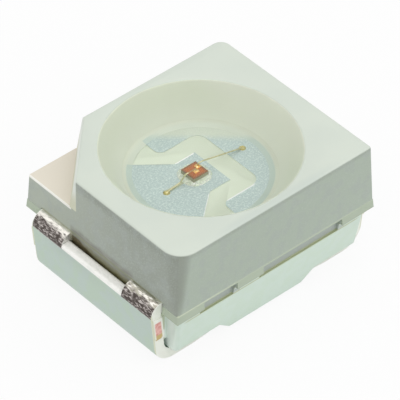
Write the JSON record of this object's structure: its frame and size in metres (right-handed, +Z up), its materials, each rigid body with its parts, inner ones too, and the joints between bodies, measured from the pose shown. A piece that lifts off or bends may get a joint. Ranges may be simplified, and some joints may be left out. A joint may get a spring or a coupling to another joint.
{
  "type": "smd led",
  "caption": "Surface-mount LED in a white moulded package with a resin-filled reflector cup, a cut cathode corner and leads folded under the body.",
  "frame": {"origin": "middle of the package, on the seating plane of the two feet", "axes": "+Z up, away from the board; +X from the cathode lead to the anode lead; +Y across the width, towards the side with the cut corner"},
  "size_m": [0.0036, 0.0028, 0.0018],
  "materials": {
    "white_moulding": "satin reflector-grade moulding, pale greenish white",
    "plated_lead": "bright tin and silver plating over copper strip",
    "clear_resin": "clear casting resin, flush with the rim",
    "chip_crystal": "orange-brown crystal with dark sawn sides",
    "contact_metal": "thin gold contact metal",
    "silver_glue": "cured silver-filled glue",
    "gold_wire": "drawn gold bond wire"
  },
  "bodies": {
    "root": {"housing": "white_moulding", "cathode_lead": "plated_lead", "anode_lead": "plated_lead", "led_chip": "chip_crystal", "chip_contacts": "contact_metal", "die_attach": "silver_glue", "bond_wire_anode": "gold_wire", "bond_wire_cathode": "gold_wire", "encapsulant": "clear_resin"}
  },
  "joints": []
}
